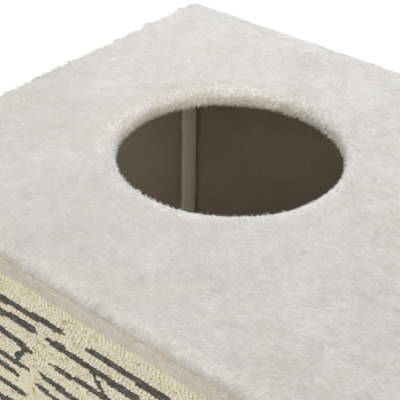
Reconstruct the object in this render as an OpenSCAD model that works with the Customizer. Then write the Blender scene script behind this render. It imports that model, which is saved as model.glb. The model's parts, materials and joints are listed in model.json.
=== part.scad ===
// Plush-covered cat condo: a box of wrapped boards with a round way in through the back of its top panel,
// a round door in its front wall and a woven scratch mat on its left wall.
// Millimetres, +Z up, front towards -Y. The origin is on the floor, under the middle of the box.

/* [Overall] */
// Width of the top and base panels over their plush, left to right
width = 420; // [380:1:540]
// Depth of the top and base panels over their plush, front to back
depth = 500; // [440:1:640]
// Height from the floor to the top of the plush
height = 400; // [360:1:520]
// How far the top and base panels stand out past the walls
overhang = 2; // [0:0.5:8]

/* [Boards and plush] */
// Thickness of the particle boards
board_t = 12; // [9:0.5:16]
// Thickness of the plush on the face and the edges of a board
plush_t = 4; // [3:0.25:6]
// Thickness of the plush hem that is turned over to the back of a board
hem_t = 4; // [2.5:0.25:5]
// Width of the hem on the back of a wall and under the base
hem_w = 20; // [18:1:36]
// Width of the hem round the back of an opening
ring_hem_w = 20; // [12:1:24]
// Radius to which the plush rounds the edges of a panel
edge_r = 7; // [6:0.5:8]
// Thickness of the felt lining
lining_t = 0.8; // [0.5:0.1:1.5]
// Gap round the lining
lining_gap = 0.5; // [0.2:0.1:2]

/* [Openings] */
// Clear diameter of the way in through the top panel
hole_d = 190; // [150:1:200]
// Distance from the back edge of the top panel to the middle of that way in
hole_from_back = 210; // [190:1:250]
// Clear diameter of the door in the front wall
door_d = 190; // [150:1:200]
// Height of the door's centre above the floor
door_z = 190; // [170:1:200]

/* [Scratch mat] */
// Thickness of the woven mat
mat_t = 4; // [3:0.5:5]
// Width of the plush border that the mat leaves bare on its wall
mat_margin = 14; // [12:1:60]
// Gap between the mat and the plush round it
mat_gap = 0.4; // [0.2:0.1:2]

/* [Angle brackets] */
// Length of each leg
bracket_leg = 24; // [20:1:32]
// Width of the strip
bracket_w = 16; // [12:1:24]
// Thickness of the steel
bracket_t = 2; // [1.5:0.25:3]
// Distance from the end of a wall to the middle of its corner brackets
bracket_inset = 55; // [50:1:80]

/* [Screws, staples and feet] */
// Thread diameter of the bracket screws
screw_d = 3.5; // [3:0.1:4]
// Length of the bracket screws under the head
screw_len = 12; // [10:0.5:13]
// Thread diameter of the base screws
base_screw_d = 4; // [3:0.1:5]
// Depth to which the base screws enter a wall
base_screw_bite = 22; // [15:1:35]
// Distance of each base screw from the middle of its wall
base_screw_reach = 110; // [80:1:130]
// Length of a staple's crown
staple_w = 10; // [8:0.5:12]
// Length of a staple's legs
staple_leg = 8; // [6:0.5:9]
// Distance between staples
staple_pitch = 60; // [40:1:90]
// Diameter of a foot
foot_d = 30; // [20:1:40]
// Height of a foot
foot_h = 8; // [6.5:0.5:15]
// Distance from the edge of the base board to the middle of a foot
foot_inset = 46; // [44:1:90]
// Diameter of the nail that holds a foot
nail_d = 2.5; // [2:0.1:3]
// Length of that nail in the base board
nail_bite = 9; // [6:0.5:9]

/* [Hidden] */
$fn = 48;
// Sides of a full turn: round edges and corners of the plush, lips across and round an opening
corner_sides = 32;
lip_arc_sides = 24;
lip_sides = 96;
FRONT = 0;
RIGHT = 1;
BACK = 2;
LEFT = 3;
SIDES = [FRONT, RIGHT, BACK, LEFT];
CORNERS = [[1, 1], [-1, 1], [-1, -1], [1, -1]];

plush_colour = "ivory";
board_colour = "tan";
lining_colour = "rosybrown";
mat_colour = "palegoldenrod";
steel_colour = "silver";
foot_colour = "dimgray";

// Play between a screw and its hole, on the radius
screw_play = 0.05;
// Pan heads: diameter, height, and width and run of the slots, as shares of the thread's diameter
head_over = 2;
head_share = 0.6;
slot_share = 0.28;
slot_run = 1.2;
// Least room between the heads of the base screws and the floor
head_clear = 0.5;
// How much further than its thickness the hem rounds the back of an opening
lip_over = 1;
// Wire of the staples
staple_wire_w = 1.2;
staple_wire_t = 0.6;
// The head of a foot's nail, inside the foot
nail_head_d = 9;
nail_head_t = 1.5;
// Chamfer round the lower edge of a foot
foot_chamfer = 1.5;
// How far the top panel's hem reaches past its brackets
hem_past_bracket = 4;
// Overlap of a cutter past the face that it cuts
past = 1;

// Inner faces of the wall boards, from the middle of the box
wall_x = width / 2 - overhang - plush_t - board_t;
wall_y = depth / 2 - overhang - plush_t - board_t;
// The side walls run the full depth, and the front and back walls stand between their hems
side_len = depth - 2 * (overhang + plush_t);
end_len = 2 * (wall_x - hem_t - plush_t);
joint_hem = side_len / 2 - (wall_y - hem_t);

// Levels: top of the floor plush and underside of the top panel's hem
floor_z = foot_h + board_t + plush_t;
roof_z = height - plush_t - board_t - hem_t;
wall_h = roof_z - floor_z;
wall_mid = (roof_z + floor_z) / 2;
board_h = wall_h - 2 * plush_t;
top_board_z = height - plush_t - board_t;
panel_t = hem_t + board_t + plush_t;
panel_size = [width - 2 * plush_t, depth - 2 * plush_t];
top_hem = overhang + board_t + hem_t + bracket_leg + hem_past_bracket;
door_y = door_z - wall_mid;
hole_y = depth / 2 - hole_from_back;

// Radii of an opening in its board and of the hem behind it
function board_hole_r(d) = d / 2 + plush_t;
function ring_r(d) = board_hole_r(d) + ring_hem_w;

mat_size = [depth - 2 * (overhang + mat_margin), wall_h - 2 * mat_margin];
bracket_y = wall_h / 2 - bracket_inset;
head_h = head_share * screw_d;
base_head_h = min(head_share * base_screw_d, foot_h - hem_t - head_clear);
base_screw_len = floor_z + plush_t + base_screw_bite - (foot_h - hem_t);
foot_place = [width / 2 - plush_t - foot_inset, depth / 2 - plush_t - foot_inset];

// A wall's own values: its run is the length of its board, and its reach the place of its inner face
function is_end(side) = side % 2 == 0;
function reach(side) = is_end(side) ? wall_y : wall_x;
function run(side) = is_end(side) ? end_len : side_len;
function end_hem(side) = is_end(side) ? hem_w : joint_hem;
// Corner brackets lie on the hem of an end wall and on the lining of a side wall
function bracket_seat(side) = is_end(side) ? hem_t : lining_t;
function bracket_x(side) =
    (is_end(side) ? wall_x - lining_t : wall_y - hem_t) - bracket_leg / 2;

// A wall's frame: x along it, y up from its middle, z outwards from the inner face of its board
module on_wall(side) {
    rotate([90, 0, 90 * side]) translate([0, wall_mid, reach(side)]) children();
}

// The frame of the top panel and of the base panel: z up from the underside of the board
module on_top() {
    translate([0, 0, top_board_z]) children();
}
module on_base() {
    translate([0, 0, foot_h]) children();
}

// The middle of the way in through the top panel, in that panel's frame
module at_hole() {
    translate([0, hole_y, 0]) children();
}

// A plate centred in x and y, from z0 upwards
module plate(size, z0, thick) {
    translate([-size.x / 2, -size.y / 2, z0]) cube([size.x, size.y, thick]);
}

// A plate with every edge rounded to edge_r
module rounded_plate(size, z0, thick) {
    step = 360 / corner_sides;
    profile = concat(
        [[0, 0]],
        [for (a = [-90 : step : 0]) [edge_r * cos(a), edge_r + edge_r * sin(a)]],
        [for (a = [0 : step : 90]) [edge_r * cos(a), thick - edge_r + edge_r * sin(a)]],
        [[0, thick]]
    );
    translate([0, 0, z0]) hull()
        for (c = CORNERS)
            translate([c.x * (size.x / 2 - edge_r), c.y * (size.y / 2 - edge_r), 0])
                rotate_extrude($fn = corner_sides) polygon(profile);
}

// What is taken out of a cover for a round opening: straight in the middle, flared at both faces
module lip_cutter(d) {
    r = d / 2;
    low = -hem_t;
    high = board_t + plush_t;
    low_r = hem_t + lip_over;
    step = 360 / lip_arc_sides;
    rotate_extrude($fn = lip_sides) polygon(concat(
        [[0, low - past], [r + low_r, low - past], [r + low_r, low]],
        [for (a = [-90 : -step : -180]) [r + low_r + low_r * cos(a), low + low_r + low_r * sin(a)]],
        [for (a = [180 : -step : 90]) [r + edge_r + edge_r * cos(a), high - edge_r + edge_r * sin(a)]],
        [[r + edge_r, high + past], [0, high + past]]
    ));
}

// Plush wrapped round a board: a hem all round its back, and the back left bare inside that
module wrap(size, hem) {
    difference() {
        rounded_plate(size + 2 * [plush_t, plush_t], -hem_t, panel_t);
        plate(size, 0, board_t);
        plate(size - 2 * hem, -hem_t - past, hem_t + 2 * past);
    }
}

// The hem round the back of an opening, still without its hole
module ring_hem(d) {
    translate([0, 0, -hem_t]) cylinder(r = ring_r(d), h = hem_t);
    cylinder(r = board_hole_r(d), h = board_t);
}

// Pan-head screw along +z, with the underside of its head at z = 0 and a cross slot in it
module pan_screw(d, len, h) {
    difference() {
        union() {
            translate([0, 0, -h]) cylinder(d = head_over * d, h = h);
            cylinder(d = d, h = len);
        }
        for (turn = [0, 90])
            rotate([0, 0, turn])
                plate([slot_run * d, slot_share * d], -h - past, past + h / 2);
    }
}

// The hole that such a screw passes through
module screw_bore(d, len) {
    translate([0, 0, -past]) cylinder(r = d / 2 + screw_play, h = len + past);
}

// Angle bracket with its outer corner at the origin and its legs along -x and -y
module angle_bracket() {
    difference() {
        linear_extrude(bracket_w, center = true) polygon([
            [0, 0], [-bracket_leg, 0], [-bracket_leg, -bracket_t],
            [-bracket_t, -bracket_t], [-bracket_t, -bracket_leg], [0, -bracket_leg]
        ]);
        translate([-bracket_leg / 2, -bracket_t, 0]) rotate([-90, 0, 0])
            screw_bore(screw_d, bracket_t + past);
        translate([-bracket_t, -bracket_leg / 2, 0]) rotate([0, 90, 0])
            screw_bore(screw_d, bracket_t + past);
    }
}

// Places of the corner brackets' screws in a wall, at the face that the head seats on
module at_corner_screws(side) {
    for (sx = [-1, 1], sy = [-1, 1])
        translate([sx * bracket_x(side), sy * bracket_y, -bracket_seat(side) - bracket_t]) children();
}

// Place of the top bracket's screw in a wall, and of its other screw in the top board
module at_top_screw_in_wall() {
    translate([0, wall_h / 2 - bracket_leg / 2, -hem_t - bracket_t]) children();
}
module at_top_screws_in_top() {
    for (side = SIDES)
        rotate([0, 0, 90 * side])
            translate([0, -(reach(side) - hem_t - bracket_leg / 2), -hem_t - bracket_t]) children();
}

// Places of the base screws, at the face of the base panel's hem: under one wall as if it were the
// front one, and under all four
module under_wall(side) {
    for (s = [-1, 1])
        translate([s * base_screw_reach, -(reach(side) + board_t / 2), foot_h - hem_t]) children();
}
module at_base_screws() {
    for (side = SIDES) rotate([0, 0, 90 * side]) under_wall(side) children();
}

// Holes that the screws make in a wall's board and cover, in the wall's frame
module wall_bores(side) {
    at_corner_screws(side) screw_bore(screw_d, screw_len);
    at_top_screw_in_wall() screw_bore(screw_d, screw_len);
    translate([0, -wall_mid, -reach(side)]) rotate([-90, 0, 0])
        under_wall(side) screw_bore(base_screw_d, base_screw_len);
}

module wall_board(side) {
    color(board_colour) on_wall(side) difference() {
        plate([run(side), board_h], 0, board_t);
        wall_bores(side);
        wall_staples(side);
        if (side == FRONT)
            translate([0, door_y, -past]) cylinder(r = board_hole_r(door_d), h = board_t + 2 * past);
    }
}

module wall_cover(side) {
    color(plush_colour) on_wall(side) difference() {
        union() {
            wrap([run(side), board_h], [end_hem(side), hem_w]);
            if (side == FRONT) translate([0, door_y, 0]) ring_hem(door_d);
        }
        wall_bores(side);
        wall_staples(side);
        if (side == FRONT) translate([0, door_y, 0]) lip_cutter(door_d);
        if (side == LEFT) plate(mat_size + 2 * [mat_gap, mat_gap], board_t - past, plush_t + 2 * past);
    }
}

module wall_lining(side) {
    size = [run(side), board_h] - 2 * [end_hem(side) + lining_gap, hem_w + lining_gap];
    color(lining_colour) on_wall(side) difference() {
        plate(size, -lining_t, lining_t);
        wall_bores(side);
        if (side == FRONT)
            translate([0, door_y, -lining_t - past])
                cylinder(r = ring_r(door_d) + lining_gap, h = lining_t + 2 * past);
    }
}

module front_board() wall_board(FRONT);
module right_board() wall_board(RIGHT);
module back_board() wall_board(BACK);
module left_board() wall_board(LEFT);
module front_cover() wall_cover(FRONT);
module right_cover() wall_cover(RIGHT);
module back_cover() wall_cover(BACK);
module left_cover() wall_cover(LEFT);
module front_lining() wall_lining(FRONT);
module right_lining() wall_lining(RIGHT);
module back_lining() wall_lining(BACK);
module left_lining() wall_lining(LEFT);

module top_board() {
    color(board_colour) on_top() difference() {
        plate(panel_size, 0, board_t);
        at_hole() translate([0, 0, -past]) cylinder(r = board_hole_r(hole_d), h = board_t + 2 * past);
        at_top_screws_in_top() screw_bore(screw_d, screw_len);
        top_staples();
    }
}

module top_cover() {
    color(plush_colour) on_top() difference() {
        union() {
            wrap(panel_size, [top_hem, top_hem]);
            at_hole() ring_hem(hole_d);
        }
        at_hole() lip_cutter(hole_d);
        at_top_screws_in_top() screw_bore(screw_d, screw_len);
        top_staples();
    }
}

module ceiling_lining() {
    bare = panel_size - 2 * [top_hem + lining_gap, top_hem + lining_gap];
    color(lining_colour) on_top() difference() {
        plate(bare, -lining_t, lining_t);
        at_hole() translate([0, 0, -lining_t - past])
            cylinder(r = ring_r(hole_d) + lining_gap, h = lining_t + 2 * past);
    }
}

module base_board() {
    color(board_colour) difference() {
        on_base() plate(panel_size, 0, board_t);
        on_base() base_staples();
        at_base_screws() screw_bore(base_screw_d, base_screw_len);
        at_feet() translate([0, 0, foot_h]) screw_bore(nail_d, nail_bite);
    }
}

module base_cover() {
    color(plush_colour) difference() {
        on_base() wrap(panel_size, [hem_w, hem_w]);
        on_base() base_staples();
        at_base_screws() screw_bore(base_screw_d, base_screw_len);
    }
}

module scratch_mat() {
    color(mat_colour) on_wall(LEFT) plate(mat_size, board_t, mat_t);
}

module corner_brackets() {
    color(steel_colour)
        for (i = [0 : 3], sz = [-1, 1])
            translate([
                CORNERS[i].x * (wall_x - lining_t),
                CORNERS[i].y * (wall_y - hem_t),
                wall_mid + sz * bracket_y
            ])
                rotate([0, 0, 90 * i]) angle_bracket();
}

module corner_screws() {
    color(steel_colour)
        for (side = SIDES)
            on_wall(side) at_corner_screws(side) pan_screw(screw_d, screw_len, head_h);
}

module top_brackets() {
    color(steel_colour)
        for (side = SIDES)
            on_wall(side) translate([0, wall_h / 2, -hem_t]) rotate([0, -90, 0]) angle_bracket();
}

module top_screws() {
    color(steel_colour) {
        for (side = SIDES)
            on_wall(side) at_top_screw_in_wall() pan_screw(screw_d, screw_len, head_h);
        on_top() at_top_screws_in_top() pan_screw(screw_d, screw_len, head_h);
    }
}

module base_screws() {
    color(steel_colour) at_base_screws() pan_screw(base_screw_d, base_screw_len, base_head_h);
}

// Staple with its crown along x, flush with z = 0, and its legs along +z
module staple() {
    for (s = [-1, 1])
        translate([s * (staple_w - staple_wire_t) / 2, 0, 0])
            plate([staple_wire_t, staple_wire_w], 0, hem_t + staple_leg);
    plate([staple_w, staple_wire_w], 0, staple_wire_t);
}

// Staples spread evenly along x over a length, clear of its ends
module staple_row(length) {
    count = max(2, floor(length / staple_pitch));
    for (i = [0 : count - 1])
        translate([(i + 0.5 - count / 2) * length / count, 0, 0]) staple();
}

// Staples along the four hems behind a board
module staple_frame(size, hem) {
    for (s = [-1, 1]) {
        translate([0, s * (size.y - hem.y) / 2, -hem_t]) staple_row(size.x - 2 * hem.x);
        translate([s * (size.x - hem.x) / 2, 0, -hem_t]) rotate([0, 0, 90]) staple_row(size.y - 2 * hem.y);
    }
}

// Staples round the hem behind an opening
module staple_ring(d) {
    count = round(PI * (d + ring_hem_w) / staple_pitch);
    for (i = [0 : count - 1])
        rotate([0, 0, (i + 0.5) * 360 / count])
            translate([0, board_hole_r(d) + ring_hem_w / 2, -hem_t]) staple();
}

// The staples of each panel, in its own frame
module wall_staples(side) {
    staple_frame([run(side), board_h], [end_hem(side), hem_w]);
    if (side == FRONT) translate([0, door_y, 0]) staple_ring(door_d);
}
module top_staples() {
    staple_frame(panel_size, [top_hem, top_hem]);
    at_hole() staple_ring(hole_d);
}
module base_staples() {
    staple_frame(panel_size, [hem_w, hem_w]);
}

module hem_staples() {
    color(steel_colour) {
        for (side = SIDES) on_wall(side) wall_staples(side);
        on_top() top_staples();
        on_base() base_staples();
    }
}

// Places of the feet on the floor
module at_foot(sx, sy) {
    translate([sx * foot_place.x, sy * foot_place.y, 0]) children();
}
module at_feet() {
    for (c = CORNERS) at_foot(c.x, c.y) children();
}

// A moulded glide: a disc with a chamfered lower edge, hollow inside for the head of its nail
module foot(sx, sy) {
    color(foot_colour) at_foot(sx, sy) difference() {
        union() {
            cylinder(d1 = foot_d - 2 * foot_chamfer, d2 = foot_d, h = foot_chamfer);
            translate([0, 0, foot_chamfer]) cylinder(d = foot_d, h = foot_h - foot_chamfer);
        }
        translate([0, 0, foot_h / 2]) cylinder(d = nail_head_d, h = nail_head_t);
        translate([0, 0, foot_h / 2]) cylinder(d = nail_d, h = foot_h);
    }
}
module foot_front_left() foot(-1, -1);
module foot_front_right() foot(1, -1);
module foot_back_left() foot(-1, 1);
module foot_back_right() foot(1, 1);

module foot_nails() {
    color(steel_colour) at_feet() translate([0, 0, foot_h / 2]) {
        cylinder(d = nail_head_d, h = nail_head_t);
        cylinder(d = nail_d, h = foot_h / 2 + nail_bite);
    }
}

base_board();
base_cover();
front_board();
right_board();
back_board();
left_board();
front_cover();
right_cover();
back_cover();
left_cover();
front_lining();
right_lining();
back_lining();
left_lining();
top_board();
top_cover();
ceiling_lining();
scratch_mat();
corner_brackets();
corner_screws();
top_brackets();
top_screws();
base_screws();
hem_staples();
foot_front_left();
foot_front_right();
foot_back_left();
foot_back_right();
foot_nails();
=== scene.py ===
"""Looks of a plush-covered cat condo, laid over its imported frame.

All lengths are in metres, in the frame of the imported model: +Z is up, the door faces -Y, and the scratch mat
is on the -X side. Each wrapped panel has a frame of its own, with x along the panel, y up it and z outwards
from the inner face of its board.
"""

import json
import logging
import math
from dataclasses import dataclass, field
from enum import Enum

import bmesh
import bpy
import numpy as np
from mathutils import Matrix


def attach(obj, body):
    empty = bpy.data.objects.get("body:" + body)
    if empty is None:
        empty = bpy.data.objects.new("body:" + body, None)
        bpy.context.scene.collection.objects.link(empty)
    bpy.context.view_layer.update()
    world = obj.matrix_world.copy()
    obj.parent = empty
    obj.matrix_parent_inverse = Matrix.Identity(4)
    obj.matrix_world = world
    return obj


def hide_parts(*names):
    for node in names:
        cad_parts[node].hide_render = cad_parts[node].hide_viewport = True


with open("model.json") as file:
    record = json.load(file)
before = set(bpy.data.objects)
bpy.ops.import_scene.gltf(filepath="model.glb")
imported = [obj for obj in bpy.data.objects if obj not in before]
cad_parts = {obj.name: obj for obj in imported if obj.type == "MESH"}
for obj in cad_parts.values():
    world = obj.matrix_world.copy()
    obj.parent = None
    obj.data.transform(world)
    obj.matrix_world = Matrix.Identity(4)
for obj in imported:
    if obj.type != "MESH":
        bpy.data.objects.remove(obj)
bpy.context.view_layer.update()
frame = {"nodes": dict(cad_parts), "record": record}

LOG = logging.getLogger("cat_condo")
Array = np.ndarray
Draws = np.random.Generator
Piece = bpy.types.Object
Material = bpy.types.Material
Tree = bpy.types.NodeTree
Socket = bpy.types.NodeSocket
Colour = tuple[float, float, float]
MM = 0.001
UP = np.array([0.0, 0.0, 1.0])
SOCKET_TYPES = {type(None): "NodeSocketVector", tuple: "NodeSocketColor", float: "NodeSocketFloat"}


def linear(red: int, green: int, blue: int) -> Colour:
    """Turn an sRGB colour of 0 to 255 into the linear values that shaders take."""
    share = np.array([red, green, blue]) / 255
    value = np.where(share <= 0.04045, share / 12.92, ((share + 0.055) / 1.055) ** 2.4)
    return tuple(float(v) for v in value)


class LatticeNoise:
    """Smooth noise: seeded values on a cubic lattice, eased between neighbours by 3f^2 - 2f^3."""

    SIDE = 32

    def __init__(self, seed: int) -> None:
        """Draw the lattice's values from -1 to 1 with this seed."""
        self.values = np.random.default_rng(seed).uniform(-1, 1, (self.SIDE,) * 3)

    def at(self, places: Array, scale: float) -> Array:
        """Read the noise: each place divided by the scale falls in a cell, whose eight corners are blended.

        Args:
            places: points, with their three coordinates on the last axis.
            scale: size of one lattice cell.

        Returns:
            One value from -1 to 1 for each point.
        """
        cell = places / scale
        low = np.floor(cell).astype(int)
        part = cell - low
        ease = part * part * (3 - 2 * part)
        total = np.zeros(places.shape[:-1])
        for corner in np.ndindex(2, 2, 2):
            step = np.array(corner)
            weight = np.where(step, ease, 1 - ease).prod(axis=-1)
            index = (low + step) % self.SIDE
            total += weight * self.values[index[..., 0], index[..., 1], index[..., 2]]
        return total

    def mix(self, places: Array, *parts: tuple[float, float]) -> Array:
        """Add up the noise of several scales, each times its share."""
        return sum(share * self.at(places, scale) for scale, share in parts)


def unit(vectors: Array) -> Array:
    """Scale each vector on the last axis to length 1."""
    return vectors / np.maximum(np.linalg.norm(vectors, axis=-1, keepdims=True), 1e-12)


def arc(start: float, stop: float, count: int) -> tuple[Array, Array]:
    """Give the cosines and sines of evenly spaced angles in degrees."""
    angle = np.radians(np.linspace(start, stop, count))
    return np.cos(angle), np.sin(angle)


def raised(plane: Array, heights: Array) -> Array:
    """Give each row of a grid of points in a plane its height."""
    return np.concatenate([plane, np.broadcast_to(heights[:, None, None], (*plane.shape[:2], 1))], axis=-1)


def grid_faces(rows: int, columns: int, closed: bool) -> Array:
    """List the quads of a grid of points: each joins a point to its next row and next column.

    Args:
        rows: number of rows of points.
        columns: number of points in a row.
        closed: whether the last column joins the first.

    Returns:
        An array of four point numbers for each quad.
    """
    across = np.arange(columns if closed else columns - 1)
    row, column = np.meshgrid(np.arange(rows - 1), across, indexing="ij")
    here, beside = row * columns + column, row * columns + (column + 1) % columns
    return np.stack([here, here + columns, beside + columns, beside], axis=-1).reshape(-1, 4)


def copies(shape: list[list[int]], count: int) -> Array:
    """Repeat a small shape's triangles, once for each copy of its points."""
    faces = np.array(shape)
    return (faces[None] + (faces.max() + 1) * np.arange(count)[:, None, None]).reshape(-1, 3)


def mesh_object(
    name: str,
    points: Array,
    faces: Array,
    values: dict[str, Array] | None = None,
    plan: Array | None = None,
    normals: Array | None = None,
) -> Piece:
    """Put whole arrays into a new smooth mesh object at the origin.

    Args:
        name: name of the piece.
        points: vertex positions in the row frame.
        faces: vertex numbers, three or four for each face.
        values: named values, one for each vertex, for the materials to read.
        plan: two coordinates for each vertex, kept as the piece's map named OFBake.
        normals: a shading direction for each vertex, where the faces' own would look too hard.

    Returns:
        The object, linked to the scene.
    """
    sides = faces.shape[1]
    mesh = bpy.data.meshes.new(name)
    mesh.vertices.add(len(points))
    mesh.vertices.foreach_set("co", np.ascontiguousarray(points, dtype=np.float32).ravel())
    mesh.loops.add(faces.size)
    mesh.loops.foreach_set("vertex_index", faces.astype(np.int32).ravel())
    mesh.polygons.add(len(faces))
    mesh.polygons.foreach_set("loop_start", np.arange(len(faces), dtype=np.int32) * sides)
    mesh.polygons.foreach_set("use_smooth", np.ones(len(faces), dtype=bool))
    for key, value in (values or {}).items():
        mesh.attributes.new(key, "FLOAT", "POINT").data.foreach_set("value", value.astype(np.float32).ravel())
    if plan is not None:
        corners = plan[faces.ravel()].astype(np.float32).ravel()
        mesh.uv_layers.new(name="OFBake").data.foreach_set("uv", corners)
    mesh.update(calc_edges=True)
    mesh.validate()
    if normals is not None:
        mesh.normals_split_custom_set_from_vertices(normals.tolist())
    piece = bpy.data.objects.new(name, mesh)
    bpy.context.scene.collection.objects.link(piece)
    return piece


def weld(piece: Piece) -> None:
    """Close the poles of a grid by merging points that lie in one place."""
    work = bmesh.new()
    work.from_mesh(piece.data)
    bmesh.ops.remove_doubles(work, verts=work.verts, dist=1e-6)
    work.to_mesh(piece.data)
    work.free()


def thicken(piece: Piece, thickness: float) -> None:
    """Give a sheet its thickness, inwards from the side that shows."""
    solid = piece.modifiers.new("thickness", "SOLIDIFY")
    solid.thickness, solid.offset, solid.use_even_offset = thickness, -1.0, False


def fit(piece: Piece, material: Material, slot: str, *nodes: str) -> Piece:
    """Dress a piece, ride it on the one body and let it stand for its CAD nodes.

    Args:
        piece: the new object.
        material: its finish.
        slot: the record's slot that the finish belongs to; not used.
        nodes: the CAD nodes that the piece replaces.

    Returns:
        The same object.
    """
    piece.data.materials.append(material)
    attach(piece, "root")
    if nodes:
        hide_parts(*nodes)
    LOG.info("%s: %d faces", piece.name, len(piece.data.polygons))
    return piece


class NodeBench:
    """Places and wires the nodes of one material, world or node group."""

    def __init__(self, tree: Tree) -> None:
        """Take the tree and empty it."""
        self.tree = tree
        tree.nodes.clear()

    def add(self, kind: str, wires: dict | None = None, **settings: object) -> bpy.types.Node:
        """Add a node.

        Args:
            kind: the node's type, such as ShaderNodeTexNoise.
            wires: for each input, by name or number, a socket to wire from or a plain value.
            settings: the node's own properties.

        Returns:
            The node.
        """
        node = self.tree.nodes.new(kind)
        for key, value in settings.items():
            setattr(node, key, value)
        for key, value in (wires or {}).items():
            if isinstance(value, Socket):
                self.tree.links.new(value, node.inputs[key])
            else:
                node.inputs[key].default_value = value
        return node

    def place(self, group: Tree, **wires: object) -> Socket:
        """Place a node group, wire its inputs and give its output."""
        return self.add("ShaderNodeGroup", wires, node_tree=group).outputs[0]

    def ramp(self, factor: Socket, *stops: tuple[float, Colour]) -> Socket:
        """Blend colours along a factor.

        Args:
            factor: socket from 0 to 1.
            stops: places and linear colours, from low to high.

        Returns:
            The colour socket.
        """
        node = self.add("ShaderNodeValToRGB", {"Fac": factor})
        elements = node.color_ramp.elements
        while len(elements) < len(stops):
            elements.new(0.5)
        for element, (place, colour) in zip(elements, stops):
            element.position, element.color = place, (*colour, 1.0)
        return node.outputs["Color"]

    def value(self, name: str) -> Socket:
        """Read a named value of the mesh."""
        return self.add("ShaderNodeAttribute", attribute_name=name).outputs["Fac"]

    def noise(self, where: Socket, scale: object, detail: float, roughness: float = 0.5) -> Socket:
        """Read cloudy noise at a place."""
        wires = {"Vector": where, "Scale": scale, "Detail": detail, "Roughness": roughness}
        return self.add("ShaderNodeTexNoise", wires).outputs["Fac"]

    def maths(self, operation: str, first: object, second: object) -> Socket:
        """Join two sockets or values by one operation."""
        return self.add("ShaderNodeMath", {0: first, 1: second}, operation=operation).outputs[0]

    def spread(self, value: Socket, start: float, stop: float, low: Socket, high: Socket) -> Socket:
        """Stretch the part of a value from start to stop over the range from low to high."""
        wires = {"Value": value, "From Min": start, "From Max": stop, "To Min": low, "To Max": high}
        return self.add("ShaderNodeMapRange", wires).outputs["Result"]

    def bump(self, height: Socket, strength: float, distance: float) -> Socket:
        """Turn a height into a shading direction."""
        wires = {"Height": height, "Strength": strength, "Distance": distance}
        return self.add("ShaderNodeBump", wires).outputs["Normal"]

    def principled(self, wires: dict[str, object]) -> Socket:
        """Add the Principled shader and wire its inputs."""
        return self.add("ShaderNodeBsdfPrincipled", wires).outputs["BSDF"]


def new_group(
    name: str, inputs: dict[str, object], output: str, kind: str
) -> tuple[NodeBench, dict[str, Socket]]:
    """Make a node group that has only its input node yet.

    Args:
        name: the group's name.
        inputs: the default of each input: a number, a colour, or None for a vector.
        output: the name of what it gives.
        kind: the socket type of what it gives.

    Returns:
        A bench to fill it with, and its inputs by name.
    """
    tree = bpy.data.node_groups.new(name, "ShaderNodeTree")
    for key, default in inputs.items():
        socket = tree.interface.new_socket(key, in_out="INPUT", socket_type=SOCKET_TYPES[type(default)])
        if default is not None:
            socket.default_value = default
    tree.interface.new_socket(output, in_out="OUTPUT", socket_type=kind)
    bench = NodeBench(tree)
    return bench, {socket.name: socket for socket in bench.add("NodeGroupInput").outputs}


class SharedEffects:
    """Node groups that several finishes use, each built once."""

    def __init__(self) -> None:
        """Build the groups."""
        self.mottle, self.fibre, self.scuff = self._mottle(), self._fibre(), self._scuff()

    @staticmethod
    def _mottle() -> Tree:
        """Uneven dye: a colour times 1 plus or minus an amount that follows soft noise."""
        inputs = {"Vector": None, "Color": (0.8, 0.8, 0.8, 1.0), "Scale": 20.0, "Amount": 0.05}
        bench, into = new_group("uneven dye", inputs, "Color", "NodeSocketColor")
        low, high = (bench.maths(operation, 1.0, into["Amount"]) for operation in ("SUBTRACT", "ADD"))
        level = bench.spread(bench.noise(into["Vector"], into["Scale"], 3.0, 0.6), 0.3, 0.7, low, high)
        tinted = bench.add("ShaderNodeVectorMath", {0: into["Color"], "Scale": level}, operation="SCALE")
        bench.add("NodeGroupOutput", {"Color": tinted.outputs["Vector"]})
        return bench.tree

    @staticmethod
    def _fibre() -> Tree:
        """Matted fibre: a height of two crossed sets of stretched noise."""
        bench, into = new_group("matted fibre", {"Vector": None, "Scale": 400.0}, "Height", "NodeSocketFloat")
        heights = []
        for turn, squeeze in (((0.4, 0.3, 0.5), (0.25, 1.0, 1.0)), ((-0.5, 0.6, 1.9), (1.0, 0.25, 0.6))):
            wires = {"Vector": into["Vector"], "Rotation": turn, "Scale": squeeze}
            turned = bench.add("ShaderNodeMapping", wires).outputs["Vector"]
            heights.append(bench.noise(turned, into["Scale"], 2.0))
        bench.add("NodeGroupOutput", {"Height": bench.maths("MAXIMUM", *heights)})
        return bench.tree

    @staticmethod
    def _scuff() -> Tree:
        """Handling marks: a roughness between two levels that follows noise."""
        inputs = {"Vector": None, "Scale": 200.0, "Low": 0.3, "High": 0.5}
        bench, into = new_group("handling marks", inputs, "Roughness", "NodeSocketFloat")
        cloud = bench.noise(into["Vector"], into["Scale"], 4.0, 0.7)
        level = bench.spread(cloud, 0.35, 0.65, into["Low"], into["High"])
        bench.add("NodeGroupOutput", {"Roughness": level})
        return bench.tree


def new_material(name: str) -> tuple[Material, NodeBench]:
    """Make an empty node material and a bench to fill it with."""
    material = bpy.data.materials.new(name)
    material.use_nodes = True
    return material, NodeBench(material.node_tree)


@dataclass(frozen=True)
class Finish:
    """A procedural finish; its kinds differ in how they wire their shader."""

    name: str

    def make(self, effects: SharedEffects) -> Material:
        """Make the material, wired from places on the object to its output."""
        material, bench = new_material(self.name)
        where = bench.add("ShaderNodeTexCoord").outputs["Object"]
        bench.add("ShaderNodeOutputMaterial", {"Surface": self.shader(bench, effects, where)})
        return material

    def shader(self, bench: NodeBench, effects: SharedEffects, where: Socket) -> Socket:
        """Wire the finish.

        Args:
            bench: the material's bench.
            effects: the shared node groups.
            where: places on the object.

        Returns:
            The shader.
        """
        raise NotImplementedError


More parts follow.
